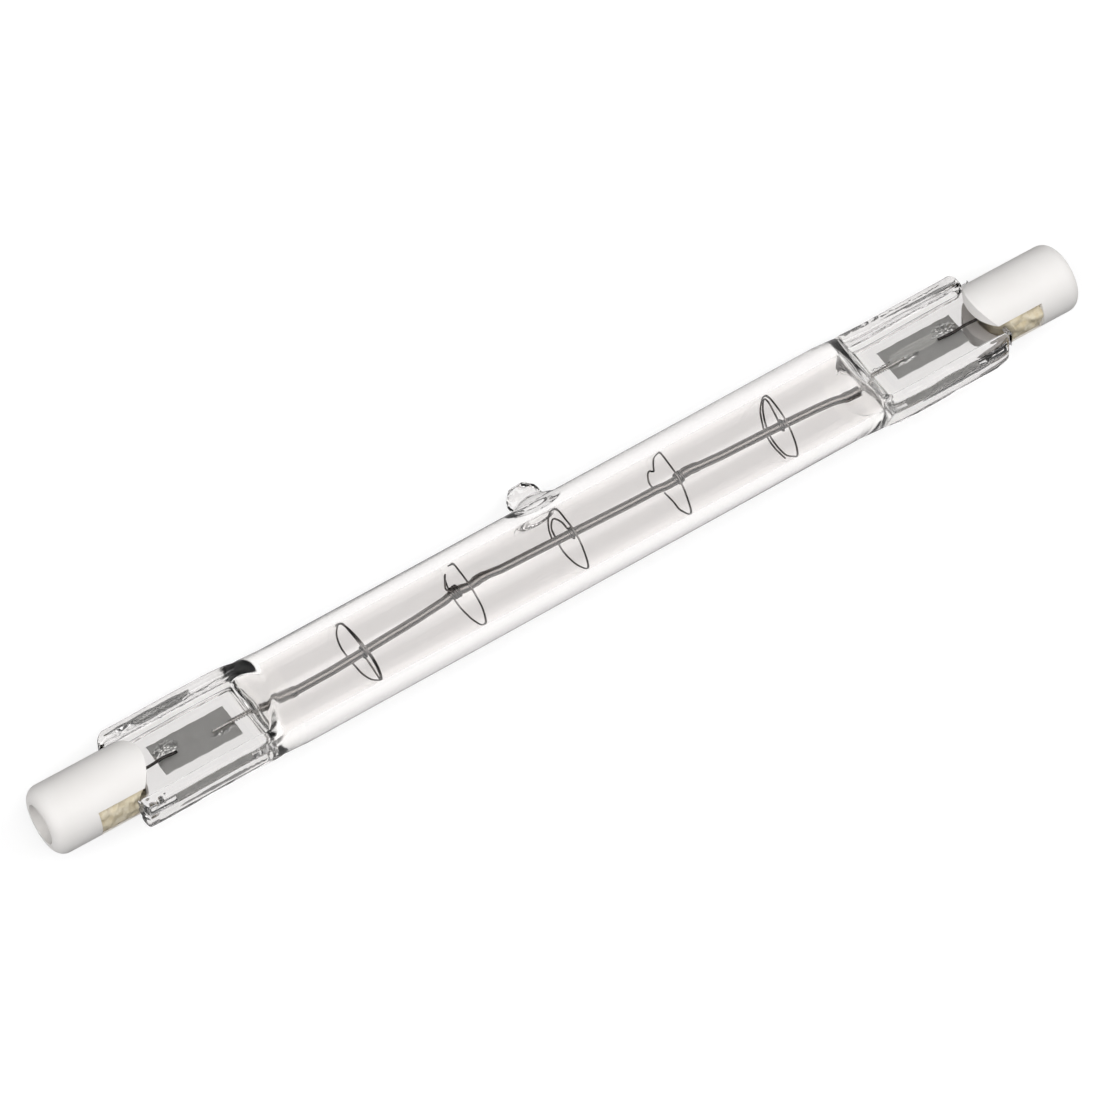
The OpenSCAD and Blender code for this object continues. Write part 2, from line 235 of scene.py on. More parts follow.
def drawn_metal(name, dark, light, roughness, scale):
    """Refractory metal as drawn or rolled: grey, semi-matt, with a mottled tone."""
    made, tree, shader = finish_of(name, Metallic=1.0, Roughness=roughness)
    place = put(tree, "ShaderNodeTexCoord").outputs["Object"]
    cloud = put(tree, "ShaderNodeTexNoise", {"Vector": place, "Scale": scale, "Detail": 3.0})
    tone = put(tree, "ShaderNodeMix", {"Factor": cloud.outputs[0]}, data_type="RGBA")
    tone.inputs["A"].default_value = linear(dark)
    tone.inputs["B"].default_value = linear(light)
    tree.links.new(tone.outputs["Result"], shader.inputs["Base Color"])
    bump = put(tree, "ShaderNodeBump", {"Height": cloud.outputs[0], "Distance": 0.00002, "Strength": 0.4})
    tree.links.new(bump.outputs[0], shader.inputs["Normal"])
    # a dark edge tint makes the metal dark at a glancing view: painted shade on the flanks of every wire and sheet
    shader.inputs["Specular Tint"].default_value = linear("#303030")
    return made


quartz = fused_quartz("fused_quartz_clear", "#EDEBEA", 0.0)
bore_quartz = fused_quartz("fused_quartz_used_bore", "#FDFBFA", 0.0)
pressed_quartz = fused_quartz("fused_quartz_pressed", "#F2F0EE", 0.16)
# air lines: a grey tint on their faces darkens the light through them, painted shade on top of their refraction
air_line = fused_quartz("fused_quartz_air_line_painted_shade", "#949494", 0.1)
ceramic = steatite()
cement_finish = cap_cement()
foil_metal = drawn_metal("molybdenum_rolled_foil", "#CFCFCD", "#DEDEDC", 0.55, 900.0)
weld_metal = drawn_metal("molybdenum_weld_flash", "#A4A4A2", "#F2F2F0", 0.3, 2600.0)
lead_metal = drawn_metal("molybdenum_drawn_wire", "#A4A09E", "#FFFDFA", 0.2, 2500.0)
# outer leads: drawn dark grey, painted shade of the wire as it shows inside the pinch
dark_metal = drawn_metal("molybdenum_wire_painted_shade", "#2E2A28", "#6A6664", 0.45, 3500.0)
coil_metal = drawn_metal("tungsten_coiled_wire", "#726E6B", "#8C8885", 0.12, 5000.0)
# crease finish: lighter and rougher than the foil, a painted highlight where the crease catches the light
crease_highlight_foil = drawn_metal("molybdenum_foil_painted_highlight", "#ECECEA", "#FAFAF8", 0.9, 900.0)
ring_metal = drawn_metal("tungsten_support_wire", "#5A5654", "#7C7876", 0.3, 3000.0)
contact_metal = drawn_metal("nickel_contact", "#B8B4AE", "#D0CCC6", 0.35, 1500.0)


# Quartz envelope

def press_height(x):
    """Height that the press leaves at a place along the lamp, over the middle of the web."""
    top = tube_r + 0.6
    return top - (top - web_t / 2) * ease((np.abs(x) - shoulder_x) / shoulder_len)


def arc_points(cx, cy, r, start, end, steps):
    """Points of an arc, with its angles in degrees."""
    angles = np.radians(np.linspace(start, end, steps + 1))
    return [(cx + r * math.cos(a), cy + r * math.sin(a)) for a in angles]


def resample(points, count):
    """A polyline with its points spaced evenly."""
    points = np.asarray(points, float)
    steps = np.linalg.norm(np.diff(points, axis=0), axis=1)
    at = np.concatenate([[0], np.cumsum(steps)])
    want = np.linspace(0, at[-1], count)
    return np.stack([np.interp(want, at, points[:, i]) for i in (0, 1)], -1)


# The tube's outside is a little bent, and its pinches were pressed a little off its axis: by how much
# sideways, as it lies, at each place along it
CROOK_XS = [-50, -47, -41, -37, -32, -31, -21, -12, 8, 18, 28, 32, 36, 38, 42, 46, 50]
CROOK_YS = [-0.05, -0.05, 0.05, 0.03, -0.22, -0.23, -0.18, -0.13, 0, 0.06, 0.145, 0.16, -0.12, -0.18, -0.1,
            -0.06, 0]

WEB_POINTS = 12
RIB_POINTS = 34
BORE_POINTS = 112
END_ROUND = 0.22
web_edge_y = rib_in - 0.3
web_ys = np.linspace(0, web_edge_y, WEB_POINTS + 1)
edge_r = 0.45
rib_line = resample(
    arc_points(web_edge_y, web_t / 2 + 0.3, 0.3, -90, 0, 4)
    + arc_points(rib_in + edge_r, rib_t / 2 - edge_r, edge_r, 180, 90, 5)
    + arc_points(rib_out - edge_r, rib_t / 2 - edge_r, edge_r, 90, 0, 5)
    + [(rib_out, 0)], RIB_POINTS)
round_angles = np.linspace(math.acos(web_edge_y / tube_r), 0, RIB_POINTS)
round_line = np.stack([tube_r * np.cos(round_angles), tube_r * np.sin(round_angles)], -1)


def quarter(x):
    """Quarter of the outer section at a place along the lamp, from the web's middle round to the side."""
    press = press_height(x)
    round_z = np.sqrt(tube_r ** 2 - web_ys ** 2)
    web_z = soft_min(round_z, press, 0.5)
    pressed = (round_z[-1] - web_z[-1]) / (round_z[-1] - web_t / 2)
    rib = round_line * (1 - pressed) + rib_line * pressed
    return np.concatenate([np.stack([web_ys, web_z], -1)[:-1], rib])


def section(x):
    """Whole outer section: four mirrored quarters without doubled points."""
    q = quarter(x)
    a = q[::-1]
    b = (q * [-1, 1])[1:]
    c = (q * [-1, -1])[::-1][1:]
    d = (q * [1, -1])[1:-1]
    return np.concatenate([a, b, c, d])


def end_round(x, radius):
    """How far the outline draws in over the last stretch before the pinch's end face."""
    back = np.clip((abs(x) - (pinch_end_x - radius)) / radius, 0, 1)
    return radius * (1 - math.sqrt(1 - back * back))


def rib_cut(x, y):
    """Share of a rib that is missing near the pinch's outer end: each of the four corners broke off its own way."""
    back = pinch_end_x - abs(x)
    if x < 0:
        upper = 1 - math.sqrt(max(0.0, 1 - (1 - min(back, 1.2) / 1.2) ** 2))
        lower = 0.4 * max(0.0, 1 - back / 0.35) ** 2
    else:
        left = max(0.0, back - 0.8)
        upper = 1 - math.sqrt(max(0.0, 1 - (1 - min(left, 0.9) / 0.9) ** 2))
        lower = 0.15 * min(1.0, max(0.0, (2.4 - back) / 1.2)) + 0.85 * min(1.0, max(0.0, (0.85 - back) / 0.3))
    return np.where(y > 0, upper, lower)


def drawn_in(line, amount):
    """A closed section moved inwards along its own normals."""
    before, after = np.roll(line, 1, 0), np.roll(line, -1, 0)
    along = after - before
    along /= np.maximum(np.linalg.norm(along, axis=1), 1e-9)[:, None]
    return line + np.stack([-along[:, 1], along[:, 0]], -1) * amount


def stations():
    """Places along the lamp: close together at the tip, the necks and the pinches."""
    half = np.concatenate([
        np.arange(0, 3.4, 0.13),
        np.arange(3.4, shoulder_x - 1, 1.0),
        np.arange(shoulder_x - 1, foot_x + 1, 0.14),
        np.arange(foot_x + 1, pinch_end_x - 1.0, 0.17),
        pinch_end_x - 1.0 + np.sin(np.linspace(0, math.pi / 2, 8)),
    ])
    half = np.unique(np.round(half, 4))
    return np.concatenate([-half[::-1], half[1:]])


def tip_profile(s):
    """Radius and height of the exhaust tip, from its top (s = 0) to the foot of its flare (s = 1)."""
    dome = 0.45
    if s < dome:
        a = s / dome * math.pi / 2
        return tip_r * math.sin(a), tip_centre + tip_r * math.cos(a)
    u = (s - dome) / (1 - dome)
    spread = ease(max(0.0, (u - 0.35) / 0.65))
    return tip_r + (3.0 - tip_r) * spread ** 1.6, tip_centre + (4.9 - tip_centre) * u ** 0.8


TIP_X = -0.25
TIP_REACH = 3.0


def raise_tip(points):
    """Draws the wall of the tube up into the exhaust tip, crumpled where the flame cut it."""
    out = points.copy()
    rho = np.hypot(points[:, 0] - TIP_X, points[:, 2])
    for i in np.nonzero((rho < TIP_REACH) & (points[:, 1] > 3))[0]:
        s = rho[i] / TIP_REACH
        r, h = tip_profile(s)
        surface = math.sqrt(max(0.0, tube_r ** 2 - (points[i, 2] * r / max(rho[i], 1e-6)) ** 2))
        fade = ease((s - 0.75) / 0.25)
        k = r / max(rho[i], 1e-6)
        out[i, 0] = TIP_X + (points[i, 0] - TIP_X) * k
        out[i, 2] = points[i, 2] * k
        out[i, 1] = max(h * (1 - fade) + surface * fade, 0.1)
        crumple = noise.noise(Vector((out[i, 0] * 0.9 + 7, out[i, 1] * 0.9, out[i, 2] * 0.9))) * 0.22
        crumple += noise.noise(Vector((out[i, 0] * 2.4, out[i, 1] * 2.4 + 3, out[i, 2] * 2.4))) * 0.09
        grown = (1 - ease((s - 0.5) / 0.3)) * crumple
        out[i, 1] += grown * 0.6
        out[i, 0] += grown * (out[i, 0] - TIP_X) / tip_r
        out[i, 2] += grown * out[i, 2] / tip_r
    return out


RUNGS_FROM, RUNGS_TO, RUNG_PITCH = -40.4, -35.2, 0.62


def pinch_marks(points):
    """Waves that the press leaves on the pinches: streaks along the ribs, and rungs on one of them."""
    out = points.copy()
    for i in np.nonzero(np.abs(points[:, 0]) > shoulder_x)[0]:
        x, y, z = points[i]
        grown = ease((abs(x) - shoulder_x) / shoulder_len)
        on_rib = abs(y) > rib_in - 0.2
        streak = noise.noise(Vector((x * 0.12, y * 1.3, z * 1.3 + 11)))
        wave = noise.noise(Vector((x * 0.5 + 5, y * 0.5, z)))
        if on_rib:
            out[i, 2] += grown * math.copysign(0.05 * streak + 0.05 * wave, z)
            out[i, 1] += grown * math.copysign(0.03 * streak, y)
        else:
            out[i, 2] += grown * math.copysign(0.03 * wave, z)
        if y < -rib_in and RUNGS_FROM < x < RUNGS_TO:
            fade = ease((x - RUNGS_FROM) / 1.5) * ease(RUNGS_TO - x)
            near = math.exp(-((z + 0.4) / 0.6) ** 2)
            out[i, 1] -= 0.07 * fade * near * math.sin(2 * math.pi * x / RUNG_PITCH)
    return out


def bore_stations():
    """Places along the bore: far apart in the tube, close together where it closes."""
    dome = seam_x - bore_dome_len + bore_dome_len * np.sin(np.linspace(0, math.pi / 2, 22))
    half = np.concatenate([np.arange(0, seam_x - bore_dome_len, 1.2), dome])
    return np.concatenate([-half[::-1], half[1:]])


def bore_rows():
    """The inner wall: round along the tube, closing at each end to a seam across the web."""
    rows = []
    angles = np.arange(BORE_POINTS) * 2 * math.pi / BORE_POINTS
    for x in bore_stations():
        back = max(0.0, (abs(x) - (seam_x - bore_dome_len)) / bore_dome_len)
        press = (bore_r + 0.5) * math.sqrt(max(0.0, 1 - back * back))
        y = bore_r * np.cos(angles)
        z = bore_r * np.sin(angles)
        bead = 0.05 + 0.05 * np.abs(np.sin(y * 5 + (2 if x > 0 else 0)))
        limit = np.maximum(press, bead)
        flat = soft_min(np.abs(z), limit, 0.04 + 0.3 * (1 - back)) * np.sign(z)
        flat = np.where(np.abs(z) < 1e-9, 0, flat)
        curve = back ** 2 * (-1.2 - 0.15 * y + 0.12 * np.sin(2 * y) if x > 0 else 0.1 * np.sin(1.5 * y + 1))
        rows.append(np.stack([x + curve, y, flat], -1))
    return rows


def void(cx, cy, cz, length, width, height, first):
    """An air line left in the glass: a long thin closed space."""
    steps, sides = (14, 10) if length > 1 else (6, 8)
    rows = []
    for i in range(1, steps):
        a = math.pi * i / steps
        around = np.arange(sides) * 2 * math.pi / sides
        wobble = 1 + 0.25 * math.sin(i * 2.1 + cx)
        rows.append(np.stack([
            np.full(sides, cx - length / 2 * math.cos(a)),
            cy + width / 2 * math.sin(a) * wobble * np.cos(around),
            cz + height / 2 * math.sin(a) * wobble * np.sin(around)], -1))
    return np.concatenate(rows), [f[::-1] for f in skin(rows, first=first)]


def bubbles(start, end, count, length, width, scatter, seed):
    """A row of small bubbles drawn out along the lamp."""
    made = []
    for i in range(count):
        u = (i + 0.5) / count
        jolt = [noise.noise(Vector((i * 1.7, seed, k * 3.1))) for k in range(4)]
        place = [a + (b - a) * u + scatter * 2 * j for a, b, j in zip(start, end, jolt)]
        grown = 1 + 0.9 * jolt[3]
        made.append((*place, length * grown, width * grown, width * grown))
    return made


def quartz_envelope():
    """Tube, pinches and exhaust tip in one skin, with the bore and the air left in the glass as inner skins."""
    rows = []
    for x in stations():
        line = section(x)
        side = np.clip((np.abs(line[:, 0]) - rib_in) / (rib_out - rib_in), 0, 1)
        cut = rib_cut(x, line[:, 0])
        line[:, 1] *= 1 - cut * (np.abs(line[:, 0]) > web_edge_y + 0.2) * (1 - web_t / rib_t)
        line[:, 0] -= np.sign(line[:, 0]) * rib_w * cut * side
        line = drawn_in(line, end_round(x, END_ROUND))
        crook = np.interp(x, CROOK_XS, CROOK_YS)
        line = line + [crook * math.cos(rest_roll), crook * math.sin(rest_roll)]
        rows.append(np.stack([np.full(len(line), x), line[:, 0], line[:, 1]], -1))
    outer = pinch_marks(raise_tip(np.concatenate(rows)))
    faces = skin(rows)
    inner = bore_rows()
    inner_faces = [f[::-1] for f in skin(inner, first=len(outer))]
    points = [outer, np.concatenate(inner)]
    count = len(outer) + len(points[1])
    # air lines: middle, length, width, height
    voids = [
        (-44.2, 4.6, 0.95, 9.6, 0.45, 0.8),
        (-41.5, -4.6, -1.1, 10.0, 0.35, 0.7),
        (36.9, 4.75, 1.2, 2.8, 0.14, 0.2),
        (40.0, 3.45, 1.1, 3.5, 0.1, 0.12),
        (44.5, 4.45, 0.9, 9.0, 0.1, 0.12),
        (42.8, -4.4, -0.75, 8.2, 0.35, 0.75),
        (46.5, -4.3, -0.2, 3.0, 0.12, 0.15),
    ]
    voids += bubbles((-45.8, 4.2, 1.15), (-37.7, 4.2, 1.15), 30, 0.34, 0.1, 0.05, 5)
    voids += bubbles((-47.6, 3.55, 1.2), (-37.2, 3.5, 1.2), 38, 0.34, 0.1, 0.05, 6)
    voids += bubbles((38.4, 3.5, 1.2), (47.4, 3.5, 1.2), 26, 0.34, 0.16, 0.07, 7)
    voids += bubbles((36.0, 4.7, 1.0), (47.2, 4.7, 1.0), 34, 0.4, 0.14, 0.1, 8)
    voids += bubbles((34.75, -0.2, 0.1), (35.7, -3.6, 0.0), 22, 0.26, 0.22, 0.12, 9)
    voids += bubbles((36.1, 0.3, 0.2), (38.2, 0.1, 0.2), 12, 0.24, 0.12, 0.1, 10)
    voids += bubbles((-48.9, -4.4, 0.6), (-47.5, -4.2, 1.0), 7, 0.3, 0.16, 0.15, 11)
    solid_count = len(inner_faces)
    for place in voids:
        more, more_faces = void(*place, first=count)
        points.append(more)
        inner_faces += more_faces
        count += len(more)
    centres = np.array([outer[list(f[:4])].mean(0)[0] for f in faces])
    pressed = (np.abs(centres) > shoulder_x - 0.6) & (np.abs(centres) < foot_x + 0.6)
    finishes = list(np.where(pressed, 2, 0)) + [1] * solid_count + [3] * (len(inner_faces) - solid_count)
    return piece("quartz_envelope_blown", np.concatenate(points), faces + inner_faces,
                 [quartz, bore_quartz, pressed_quartz, air_line], ["quartz_envelope"],
                 face_finishes=finishes)


quartz_envelope()


# Filament, leads and foils

# The filament's line as it lies: place and sideways offset. Its offset down is SINK times the sideways one.
FILAMENT_KNOTS = [
    (-34.5, -0.12), (-33.34, -0.2), (-31.94, -0.28), (-30.74, -0.42), (-26.85, -0.38), (-22.87, -0.19),
    (-16.88, 0.14), (-13.89, 0.38), (-13.19, 0.43), (-12.49, 0.62), (-11.8, 0.72), (-11.1, 0.62), (-10.5, 0.53),
    (-9.9, 0.63), (-9.1, 0.77), (-8.11, 0.72), (-6.81, 0.56), (-1.82, 0.48), (3.26, 0.34), (8.35, 0.24),
    (10.84, 0.24), (11.94, 0.1), (12.93, 0.15), (13.63, 0.29), (14.23, 0.44), (14.93, 0.44), (15.73, 0.34),
    (18.52, 0.17), (23.7, 0.06), (28.89, -0.15), (30.88, -0.29), (31.98, -0.49), (32.78, -0.6), (33.88, -0.62),
]
SWELL_XS = [-33.34, -30.84, -30.64, -12.39, -12.1, -11, -10.7, -10, -9.6, -8.7, -8.41, 13.73, 14.13, 15.53,
            15.83, 32.08, 32.28]
SWELL = [1.2, 1.2, 1.0, 1.0, 1.12, 1.12, 1.0, 1.0, 1.17, 1.17, 1.0, 1.0, 1.16, 1.16, 1.0, 1.0, 1.2]
SINK = -0.5


def wound(xs, ys, zs, radius, pitch, wire_r, steps=10, sides=6):
    """A coil of wire wound round a line."""
    length = xs[-1] - xs[0]
    turns = int(length / pitch)
    t = np.linspace(0, 1, turns * steps + 1)
    x = xs[0] + t * length
    a = 2 * math.pi * turns * t
    path = np.stack([x, np.interp(x, xs, ys) + radius * np.cos(a), np.interp(x, xs, zs) + radius * np.sin(a)],
                    -1)
    return tube_along(path, wire_r, sides)


def filament():
    """One close-wound coil from lead to lead: its turns touch, so it is a round rod with a fine screw relief,
    kinked and swollen where the rings grip it."""
    knots_x, knots_y = np.array(FILAMENT_KNOTS).T
    pitch, relief, sides = 0.2, 0.02, 28
    count = int((knots_x[-1] - knots_x[0]) / pitch * 6)
    xs = np.linspace(knots_x[0], knots_x[-1], count)
    ys = np.convolve(np.pad(np.interp(xs, knots_x, knots_y), 8, mode="edge"), np.ones(17) / 17, "valid")
    slope = np.gradient(ys, xs)
    around = np.arange(sides) * 2 * math.pi / sides
    rows = []
    for x, y, lean in zip(xs, ys, slope):
        swell = np.interp(x, SWELL_XS, SWELL)
        r = filament_r * swell - relief + relief * np.cos(2 * math.pi * x / pitch - around)
        rough = noise.noise(Vector((x * 1.5, 0, 4))) * (0.03 if swell > 1.05 else 0.006)
        out = (r + rough) * np.cos(around)
        rows.append(np.stack([x - lean * out, y + out, y * SINK + (r + rough) * np.sin(around)], -1))
    return piece("filament_coil", np.concatenate(rows), skin(rows), coil_metal, ["filament"],
                 upright=False)


def lead_line(from_x, to_x, drop):
    """An inner lead's line: low in the web, and bent to the filament's end in the bore."""
    xs = np.linspace(from_x, to_x, 60)
    fall = drop * ease((seam_x + 0.6 - np.abs(xs)) / 2.0)
    low = -0.17 * ease((np.abs(xs) - seam_x + 1) / 1.5)
    return xs, fall + low, -0.6 * fall


def inner_lead(name, side, drop):
    """A core wire with a fine overwinding, welded bare to the foil. It bends to meet the filament."""
    weld = (foil_in_x + 2.0) * side
    wound_from = (foil_in_x + 0.1) * side
    end = (seam_x - 1.7) * side
    core_points, core_faces = tube_along(np.stack(lead_line(weld, end, drop), -1), 0.15, 8)
    coil_line = lead_line(min(wound_from, end), max(wound_from, end), drop)
    turns, turn_faces = wound(*coil_line, lead_r - 0.06, 0.27, 0.085)
    faces = core_faces + [[i + len(core_points) for i in f] for f in turn_faces]
    return piece(name + "_overwound", np.concatenate([core_points, turns]), faces, lead_metal,
                 [name], upright=False)


def outer_lead(name, side):
    """Straight drawn wire from the contact's stem, through the cement, to its weld on the foil."""
    xs = np.linspace((foil_out_x - 2.6) * side, (cap_end_x - 2.3) * side, 40)
    wave = 0.05 * np.sin(xs * 1.9) - 0.2 * ease((51.0 - np.abs(xs)) / 3)
    points, faces = tube_along(np.stack([xs, wave, 0 * xs], -1), 0.17, 10)
    # the dark finish of the outer lead is painted shade
    return piece(name + "_drawn", points, faces, dark_metal, [name])


def foil(name, from_x, to_x, welds, seed, crease=None):
    """Rolled foil with a torn outline, lens-shaped thin edges and the flash of its welds.

    A weld is (place, y, half length, half width, height) and a crease (place, y, half length, half width)."""
    nx, ny = 120, 56
    xs = np.linspace(from_x, to_x, nx)
    ys = np.linspace(-foil_w / 2, foil_w / 2, ny)
    top, bottom, kinds = [], [], []
    for x in xs:
        for y in ys:
            across, along = y / (foil_w / 2), (x - from_x) / (to_x - from_x)
            tear_x = 0.1 * noise.noise(Vector((seed, y * 1.7, 0))) * (1 if along < 0.5 else -1)
            tear_y = 0.07 * noise.noise(Vector((x * 1.1, seed, 5))) * across
            ripple = 0.012 * noise.noise(Vector((x * 1.6, y * 1.6, seed)))
            flash = 0.0
            for cx, cy, length, width, height in welds:
                far = math.hypot((x - cx) / length, (y - cy) / width)
                ragged = far + 0.35 * noise.noise(Vector((x * 2.2, y * 3.3, seed + 2)))
                flash = max(flash, height * max(0.0, 1 - ragged ** 2))
            lump = flash * (1 + 1.1 * noise.noise(Vector((x * 5, y * 7, seed + 4))))
            half = 0.025 * math.sqrt(max(0.0, 1 - across ** 6)) + 0.004
            bare = False
            # faces in the crease get a ripple and the lighter finish, a painted highlight
            if crease:
                far_x, far_y = (x - crease[0]) / crease[2], (y - crease[1]) / crease[3]
                bare = far_x ** 4 + (far_y + 0.25 * noise.noise(Vector((x * 1.3, seed, 1)))) ** 2 < 1
                if bare:
                    ripple += 0.035 * math.sin(far_y * 6.5) * (1 - far_x ** 4)
            place = (x + tear_x * (2 * abs(along - 0.5)) ** 4, y + tear_y)
            top.append((*place, foil_z + half + ripple + lump))
            bottom.append((*place, foil_z - half + ripple))
            kinds.append(1 if flash > 0.012 else 2 if bare else 0)
    faces, finishes = [], []
    low = nx * ny
    for i in range(nx - 1):
        for j in range(ny - 1):
            k = i * ny + j
            faces.append((k, k + ny, k + ny + 1, k + 1))
            finishes.append(kinds[k])
            faces.append((low + k, low + k + 1, low + k + ny + 1, low + k + ny))
            finishes.append(0)
    rim = [i * ny for i in range(nx)] + [(nx - 1) * ny + j for j in range(1, ny)]
    rim += [i * ny + ny - 1 for i in range(nx - 2, -1, -1)] + [j for j in range(ny - 2, 0, -1)]
    for a, b in zip(rim, rim[1:] + rim[:1]):
        faces.append((a, low + a, low + b, b))
        finishes.append(0)
    return piece(name + "_rolled", top + bottom, faces, [foil_metal, weld_metal, crease_highlight_foil],
                 [name], face_finishes=finishes)


filament()
inner_lead("inner_lead_left", -1, -0.15)
inner_lead("inner_lead_right", 1, -0.6)
outer_lead("outer_lead_left", -1)
outer_lead("outer_lead_right", 1)
foil("foil_left", -46.0, -37.45, [(-44.6, 0.65, 1.5, 0.85, 0.1), (-38.8, -0.55, 1.4, 0.42, 0.06)], 3)
foil("foil_right", 37.9, 46.45, [(45.0, 0.6, 1.5, 0.85, 0.12), (39.7, -0.3, 1.9, 0.4, 0.07)], 21,
     crease=(41.3, 0.4, 2.9, 0.62))


# Support rings

# Where each ring's wire runs, in the lying lamp. It turns against the bore, above and below the filament,
# and ends in an arm down to the filament or in a free end.
RING_WAYS = {
    1: [(-23.95, 3.33, 0), (-23.69, 3.3, 0.44), (-23.74, 2.49, 2.21), (-23.57, 1.53, 2.96), (-23.38, 0.38, 3.31),
        (-23.16, -0.77, 3.24), (-23, -1.91, 2.73), (-22.87, -3.06, 1.31), (-22.91, -3.33, 0), (-23.08, -3.1, -1.2),
        (-23.2, -2.3, -2.41), (-23.28, -1.15, -3.13), (-23.47, 0.19, -3.32), (-23.65, 1.34, -3.05),
        (-23.71, 2.49, -2.21), (-23.67, 3.2, -0.91), (-23.61, 3.33, 0), (-23.76, 2.68, 1.98), (-23.74, 1.53, 2.96),
        (-23.58, 0.38, 3.31), (-23.32, -0.57, 3.28), (-23.13, -1.72, 2.85), (-23.01, -2.68, 1.98),
        (-22.87, -3.1, 0.9), (-22.88, -1.91, 0.5), (-22.94, -0.95, 0.35)],
    2: [(-11.2, 3.33, 0), (-11.2, 2.88, 1.67), (-11.27, 2.11, 2.57), (-11.26, 0.96, 3.19), (-11.19, -0.48, 3.3),
        (-11.1, -1.73, 2.85), (-11.1, -2.88, 1.67), (-11.2, -3.3, 0.3), (-11.05, -2.79, -1.82), (-11.08, -1.92, -2.72),
        (-11.2, -0.86, -3.22), (-11.35, 0.9, -3.2), (-11.45, 2.4, -2.31), (-11.6, 2.75, -1.0), (-12.1, 2.1, -0.5),
        (-12.39, 1.4, -0.5), (-12.29, 0.95, 0.1)],
    3: [(0.58, 0.77, -3.24), (0.62, 1.93, -2.71), (0.74, 2.9, -1.64), (0.8, 3.33, 0), (0.83, 2.7, 1.94),
        (0.81, 1.54, 2.95), (0.89, 0.58, 3.28), (0.9, -0.39, 3.31), (0.89, -1.35, 3.04), (0.9, -2.51, 2.19),
        (1.07, -3.3, 0.4), (1.14, -2.9, -1.64), (1.07, -1.93, -2.71), (0.98, -0.77, -3.24), (0.98, 0.77, -3.24),
        (0.92, 1.93, -2.71), (1.07, 2.6, -1.4), (1.37, 1.9, -0.5), (1.47, 1.1, -0.2)],
    4: [(12.95, -0.39, -3.31), (13.03, -0.78, -3.24), (13.16, -1.75, -2.84), (13.03, -2.8, -1.8), (12.75, -3.25, 0.73),
        (12.76, -2.72, 1.93), (12.7, -1.45, 3.0), (12.72, -0.58, 3.28), (12.72, 0.58, 3.28), (12.69, 1.75, 2.84),
        (12.85, 2.91, 1.62), (12.98, 3.33, 0), (12.83, 3.2, -0.92), (12.85, 2.62, -2.06), (12.73, 2.13, -2.3),
        (12.24, 2.13, -1.5), (11.84, 2.2, -0.8), (11.44, 2.0, -0.5), (11.19, 1.45, -0.5), (11.16, 0.97, -0.6),
        (11.39, 0.5, -0.75), (12.04, 0.1, -0.8), (12.83, -0.1, -0.75), (13.43, -0.2, -0.5)],
    5: [(24.55, -3.21, -0.87), (24.77, -1.95, -2.7), (24.79, -0.78, -3.24), (24.86, 0.39, -3.31), (24.98, 1.36, -3.04),
        (25.1, 2.53, -2.16), (25.13, 3.33, 0), (25, 2.73, 1.91), (24.97, 1.75, 2.83), (24.98, 0.58, 3.28),
        (24.98, -0.58, 3.28), (24.98, -1.95, 2.7), (25.15, -3.2, 0.9), (25.13, -3.33, 0), (25.02, -3.02, -1.4),
        (25.07, -2.14, -2.55), (25.1, -0.78, -3.24), (25.18, 0.19, -3.32), (25.29, 1.36, -3.04),
        (25.4, 2.53, -2.16), (25.38, 3.25, -0.5), (25.25, 2.53, 0.6), (25.3, 1.36, 0.5), (25.35, 0.75, 0.3)],
}
# Place of each grip, its turns round the filament and the way that it leads
RING_GRIPS = {1: (-22.96, 1.3, 1), 2: (-12.2, 3.6, 1), 3: (1.52, 1.4, 1), 4: (13.53, 3.2, 1), 5: (25.35, 1.3, 1)}


def smooth_way(knots, per_span=10):
    """A curve through every knot."""
    knots = np.asarray(knots, float)
    before = np.vstack([2 * knots[0] - knots[1], knots[:-2]])
    after = np.vstack([knots[2:], 2 * knots[-1] - knots[-2]])
    out = []
    for p0, p1, p2, p3 in zip(before, knots[:-1], knots[1:], after):
        u = np.linspace(0, 1, per_span, endpoint=False)[:, None]
        out.append(0.5 * (2 * p1 + (p2 - p0) * u + (2 * p0 - 5 * p1 + 4 * p2 - p3) * u ** 2
                          + (3 * p1 - p0 - 3 * p2 + p3) * u ** 3))
    out.append(knots[-1:])
    return np.concatenate(out)


WIRE_R = 0.095
# How far left of the ways above each ring sits
RING_SHIFTS = {1: 0.2, 2: 0.2, 3: 0.5, 4: 0.5, 5: 0.3}


def support_ring(number):
    """One ring of bent wire: its way against the bore, then its turns round the filament."""
    way = smooth_way(RING_WAYS[number])
    fit = np.minimum(1, (bore_r - WIRE_R - 0.02) / np.hypot(way[:, 1], way[:, 2]))
    way[:, 1] *= fit
    way[:, 2] *= fit
    way[:, 0] -= RING_SHIFTS[number]
    place, turns, lead = RING_GRIPS[number]
    filament_xs, filament_ys = np.array(FILAMENT_KNOTS).T
    start_y = np.interp(place, filament_xs, filament_ys)
    start = math.atan2(way[-1][2] - start_y * SINK, way[-1][1] - start_y)
    a = np.linspace(0, turns * 2 * math.pi, int(turns * 20))
    x = place - RING_SHIFTS[number] + lead * a / (2 * math.pi) * 0.24
    y = np.interp(x, filament_xs, filament_ys)
    grip_r = filament_r * np.interp(x, SWELL_XS, SWELL) + WIRE_R + 0.02
    grip = np.stack([x, y + grip_r * np.cos(start + a), y * SINK + grip_r * np.sin(start + a)], -1)
    points, faces = tube_along(np.concatenate([way, grip]), WIRE_R, 8)
    name = f"support_ring_{number}"
    piece(name + "_bent", points, faces, ring_metal, [name], upright=False)


for number in RING_WAYS:
    support_ring(number)


# Cement in the slots of the caps

CEMENT_R = 3.4
CEMENT_HALF_Y = 2.83
CEMENT_HALF_Z = 1.88


